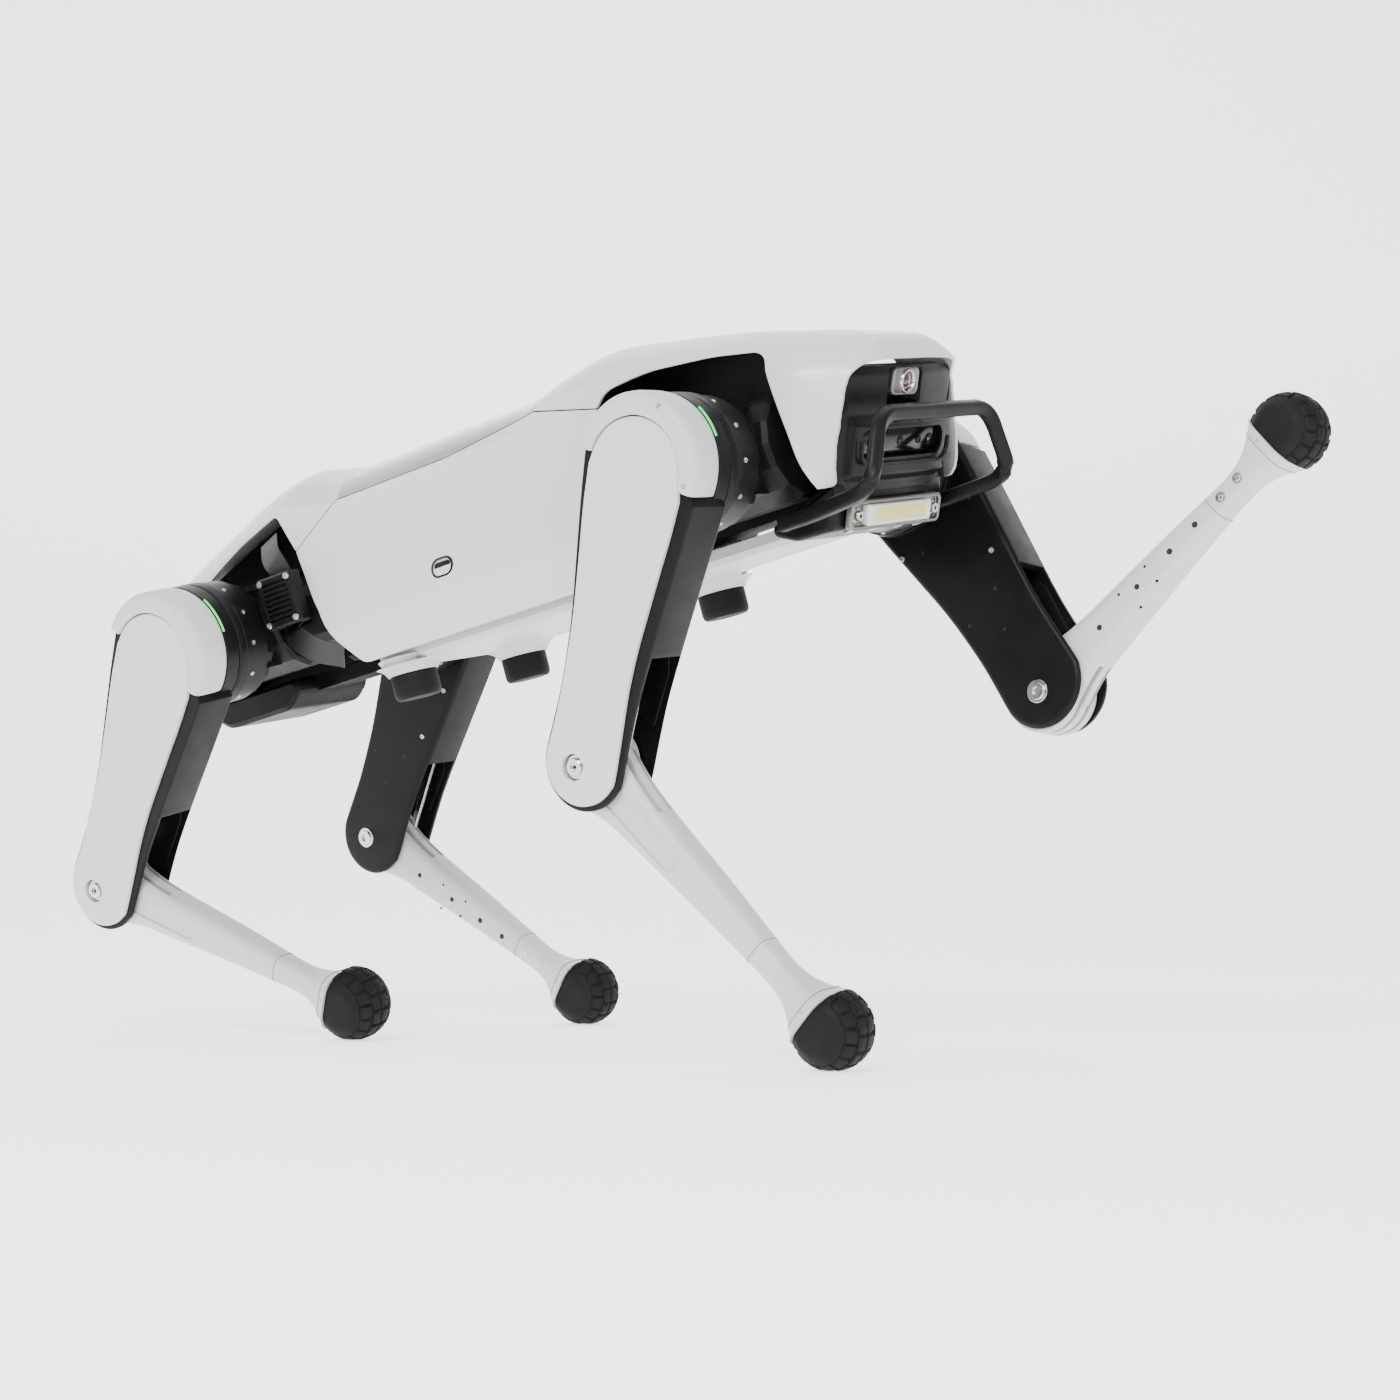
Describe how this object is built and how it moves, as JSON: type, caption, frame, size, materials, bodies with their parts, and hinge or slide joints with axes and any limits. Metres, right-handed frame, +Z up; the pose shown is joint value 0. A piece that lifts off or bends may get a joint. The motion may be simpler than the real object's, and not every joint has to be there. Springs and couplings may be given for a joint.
{
  "type": "quadruped robot dog",
  "caption": "Four-legged walking robot with a white-shelled body, black articulated thighs, rubber ball feet, a camera head with a bumper handle and a work light.",
  "frame": {"origin": "centre of the footprint box on the ground", "axes": "+X is the robot's heading, +Y its left, +Z up"},
  "size_m": [0.897, 0.3871, 0.4891],
  "materials": {
    "white_shell": "satin",
    "white_cast": "satin powder coat",
    "grey_deck": "gloss",
    "black_metal": "satin anodised",
    "black_plastic": "matte",
    "black_mask": "satin",
    "black_frame": "satin",
    "black_motor": "matte anodised",
    "black_rubber": "matte",
    "steel": "machined",
    "silver_bracket": "satin",
    "camera_glass": "gloss"
  },
  "bodies": {
    "torso": {"belly_pad_front_left": "black_rubber", "belly_pad_front_right": "black_rubber", "belly_pad_rear_left": "black_rubber", "belly_pad_rear_right": "black_rubber", "belly_tray": "white_shell", "bumper_handle": "black_metal", "chassis": "black_metal", "face_panel": "black_mask", "fan_module": "black_metal", "front_hood": "white_shell", "head_camera": "silver_bracket", "light_bar": "silver_bracket", "rear_hood": "white_shell", "sensor_box": "black_plastic", "side_panel_left": "white_shell", "side_panel_right": "white_shell", "stereo_camera": "camera_glass", "top_deck": "grey_deck"},
    "front_right_hip": {"hip_bracket_fr": "black_metal", "hip_motor_fr": "black_motor"},
    "front_right_thigh": {"thigh_frame_fr": "black_frame", "thigh_cover_fr": "white_shell", "thigh_cap_fr": "white_cast", "knee_axle_fr": "steel"},
    "front_right_shank": {"shank_fr": "white_cast", "foot_fr": "black_rubber"},
    "front_right_crank": {"knee_crank_fr": "steel"},
    "front_right_rod": {"pushrod_fr": "steel"},
    "front_left_hip": {"hip_bracket_fl": "black_metal", "hip_motor_fl": "black_motor"},
    "front_left_thigh": {"thigh_frame_fl": "black_frame", "thigh_cover_fl": "white_shell", "thigh_cap_fl": "white_cast", "knee_axle_fl": "steel"},
    "front_left_shank": {"shank_fl": "white_cast", "foot_fl": "black_rubber"},
    "front_left_crank": {"knee_crank_fl": "steel"},
    "front_left_rod": {"pushrod_fl": "steel"},
    "rear_right_hip": {"hip_bracket_rr": "black_metal", "hip_motor_rr": "black_motor"},
    "rear_right_thigh": {"thigh_frame_rr": "black_frame", "thigh_cover_rr": "white_shell", "thigh_cap_rr": "white_cast", "knee_axle_rr": "steel"},
    "rear_right_shank": {"shank_rr": "white_cast", "foot_rr": "black_rubber"},
    "rear_right_crank": {"knee_crank_rr": "steel"},
    "rear_right_rod": {"pushrod_rr": "steel"},
    "rear_left_hip": {"hip_bracket_rl": "black_metal", "hip_motor_rl": "black_motor"},
    "rear_left_thigh": {"thigh_frame_rl": "black_frame", "thigh_cover_rl": "white_shell", "thigh_cap_rl": "white_cast", "knee_axle_rl": "steel"},
    "rear_left_shank": {"shank_rl": "white_cast", "foot_rl": "black_rubber"},
    "rear_left_crank": {"knee_crank_rl": "steel"},
    "rear_left_rod": {"pushrod_rl": "steel"}
  },
  "joints": [
    {"name": "front_right_roll", "type": "hinge", "parent": "torso", "child": "front_right_hip", "pos_m": [0.12882, -0.07421, 0.38807], "axis": [-0.9802, 0, -0.1978], "range_deg": [-22.56, 27.44]},
    {"name": "front_right_pitch", "type": "hinge", "parent": "front_right_hip", "child": "front_right_thigh", "pos_m": [0.13088, -0.1628, 0.37784], "axis": [0.0231, -0.9931, -0.1147], "range_deg": [-39.36, 90.64]},
    {"name": "front_right_knee", "type": "hinge", "parent": "front_right_thigh", "child": "front_right_shank", "pos_m": [0.06478, -0.14266, 0.19015], "axis": [0.0231, -0.9931, -0.1147], "range_deg": [-30.64, 74.36]},
    {"name": "front_right_crank_turn", "type": "hinge", "parent": "front_right_thigh", "child": "front_right_crank", "pos_m": [0.13088, -0.1628, 0.37784], "axis": [0.0231, -0.9931, -0.1147], "range_deg": [-31.64, 75.36]},
    {"name": "front_right_rod_turn", "type": "hinge", "parent": "front_right_crank", "child": "front_right_rod", "pos_m": [0.15369, -0.16084, 0.36551], "axis": [0.0231, -0.9931, -0.1147], "range_deg": [-75.36, 31.64]},
    {"name": "front_left_roll", "type": "hinge", "parent": "torso", "child": "front_left_hip", "pos_m": [0.12497, 0.04481, 0.40713], "axis": [0.9802, 0, 0.1978], "range_deg": [-6.81, 43.19]},
    {"name": "front_left_pitch", "type": "hinge", "parent": "front_left_hip", "child": "front_left_thigh", "pos_m": [0.12617, 0.1338, 0.40117], "axis": [-0.0135, -0.9977, 0.0668], "range_deg": [-95.93, 34.07]},
    {"name": "front_left_knee", "type": "hinge", "parent": "front_left_thigh", "child": "front_left_shank", "pos_m": [0.2474, 0.12154, 0.24257], "axis": [-0.0135, -0.9977, 0.0668], "range_deg": [-61.12, 43.88]},
    {"name": "front_left_crank_turn", "type": "hinge", "parent": "front_left_thigh", "child": "front_left_crank", "pos_m": [0.12617, 0.1338, 0.40117], "axis": [-0.0135, -0.9977, 0.0668], "range_deg": [-62.12, 44.88]},
    {"name": "front_left_rod_turn", "type": "hinge", "parent": "front_left_crank", "child": "front_left_rod", "pos_m": [0.13978, 0.1351, 0.42328], "axis": [-0.0135, -0.9977, 0.0668], "range_deg": [-44.88, 62.12]},
    {"name": "rear_right_roll", "type": "hinge", "parent": "torso", "child": "rear_right_hip", "pos_m": [-0.32307, -0.07421, 0.29687], "axis": [-0.9802, 0, -0.1978], "range_deg": [-16.21, 21.79]},
    {"name": "rear_right_pitch", "type": "hinge", "parent": "rear_right_hip", "child": "rear_right_thigh", "pos_m": [-0.31908, -0.1611, 0.2771], "axis": [0.0447, -0.9741, -0.2217], "range_deg": [-28.39, 101.61]},
    {"name": "rear_right_knee", "type": "hinge", "parent": "rear_right_thigh", "child": "rear_right_shank", "pos_m": [-0.42045, -0.12728, 0.10804], "axis": [0.0447, -0.9741, -0.2217], "range_deg": [-64.41, 40.59]},
    {"name": "rear_right_crank_turn", "type": "hinge", "parent": "rear_right_thigh", "child": "rear_right_crank", "pos_m": [-0.31908, -0.1611, 0.2771], "axis": [0.0447, -0.9741, -0.2217], "range_deg": [-65.41, 41.59]},
    {"name": "rear_right_rod_turn", "type": "hinge", "parent": "rear_right_crank", "child": "rear_right_rod", "pos_m": [-0.29325, -0.15936, 0.27467], "axis": [0.0447, -0.9741, -0.2217], "range_deg": [-41.59, 65.41]},
    {"name": "rear_left_roll", "type": "hinge", "parent": "torso", "child": "rear_left_hip", "pos_m": [-0.32692, 0.04481, 0.31593], "axis": [0.9802, 0, 0.1978], "range_deg": [-17.45, 20.55]},
    {"name": "rear_left_pitch", "type": "hinge", "parent": "rear_left_hip", "child": "rear_left_thigh", "pos_m": [-0.32899, 0.1334, 0.32618], "axis": [0.0232, -0.9931, -0.1149], "range_deg": [-32.51, 97.49]},
    {"name": "rear_left_knee", "type": "hinge", "parent": "rear_left_thigh", "child": "rear_left_shank", "pos_m": [-0.41713, 0.15199, 0.14761], "axis": [0.0232, -0.9931, -0.1149], "range_deg": [-50.28, 54.72]},
    {"name": "rear_left_crank_turn", "type": "hinge", "parent": "rear_left_thigh", "child": "rear_left_crank", "pos_m": [-0.32899, 0.1334, 0.32618], "axis": [0.0232, -0.9931, -0.1149], "range_deg": [-51.28, 55.72]},
    {"name": "rear_left_rod_turn", "type": "hinge", "parent": "rear_left_crank", "child": "rear_left_rod", "pos_m": [-0.30398, 0.13479, 0.31918], "axis": [0.0232, -0.9931, -0.1149], "range_deg": [-55.72, 51.28]}
  ],
  "couplings": [
    {"joint": "front_right_crank_turn", "follows": "front_right_knee", "ratio": 1},
    {"joint": "front_right_rod_turn", "follows": "front_right_knee", "ratio": -1},
    {"joint": "front_left_crank_turn", "follows": "front_left_knee", "ratio": 1},
    {"joint": "front_left_rod_turn", "follows": "front_left_knee", "ratio": -1},
    {"joint": "rear_right_crank_turn", "follows": "rear_right_knee", "ratio": 1},
    {"joint": "rear_right_rod_turn", "follows": "rear_right_knee", "ratio": -1},
    {"joint": "rear_left_crank_turn", "follows": "rear_left_knee", "ratio": 1},
    {"joint": "rear_left_rod_turn", "follows": "rear_left_knee", "ratio": -1}
  ]
}
